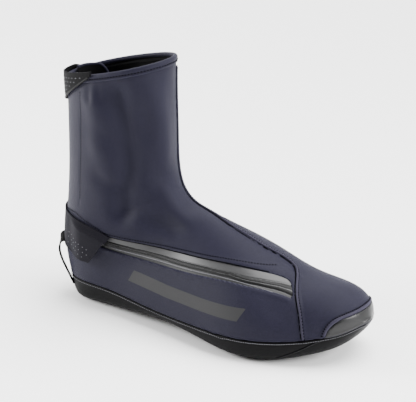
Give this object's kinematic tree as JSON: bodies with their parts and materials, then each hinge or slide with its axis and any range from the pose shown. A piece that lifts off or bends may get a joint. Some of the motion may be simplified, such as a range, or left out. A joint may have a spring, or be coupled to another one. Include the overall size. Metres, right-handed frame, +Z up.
{
  "type": "cycling overshoe",
  "caption": "Tall winter cycling overshoe for a right shoe: hollow fabric upper with side zip, heel garage and loop, collar tab, coated sole and toe panel.",
  "frame": {"origin": "on the floor, under the middle of the bounding box", "axes": "+X from heel to toe, +Y towards the inner (big toe) side of the right foot, +Z up"},
  "size_m": [0.3017, 0.1078, 0.228],
  "materials": {
    "shell_fabric": "lined softshell laminate, fine twill face, slight sheen",
    "sole_fabric": "matt black rubberised fabric",
    "toe_coating": "dark grey coating, half gloss",
    "zip_tape": "grey coated zip tape, half gloss, coil under the coating",
    "slider_metal": "dark painted zinc",
    "garage_fabric": "navy fabric with light perforations",
    "tab_fabric": "black perforated patch",
    "webbing": "black woven webbing"
  },
  "bodies": {
    "overshoe": {"upper": "shell_fabric", "sole": "sole_fabric", "toe_bumper": "toe_coating", "zip_chain": "zip_tape", "zip_slider": "slider_metal", "zip_garage": "garage_fabric", "collar_tab": "tab_fabric", "collar_underlap": "shell_fabric", "heel_loop": "webbing"},
    "zip_pull": {"zip_pull": "slider_metal"}
  },
  "joints": [
    {"name": "zip_pull_hinge", "type": "hinge", "parent": "overshoe", "child": "zip_pull", "pos_m": [-0.09056, -0.0391, 0.06594], "axis": [0.0547, 0.0023, 0.9985], "range_deg": [0, 4]}
  ]
}
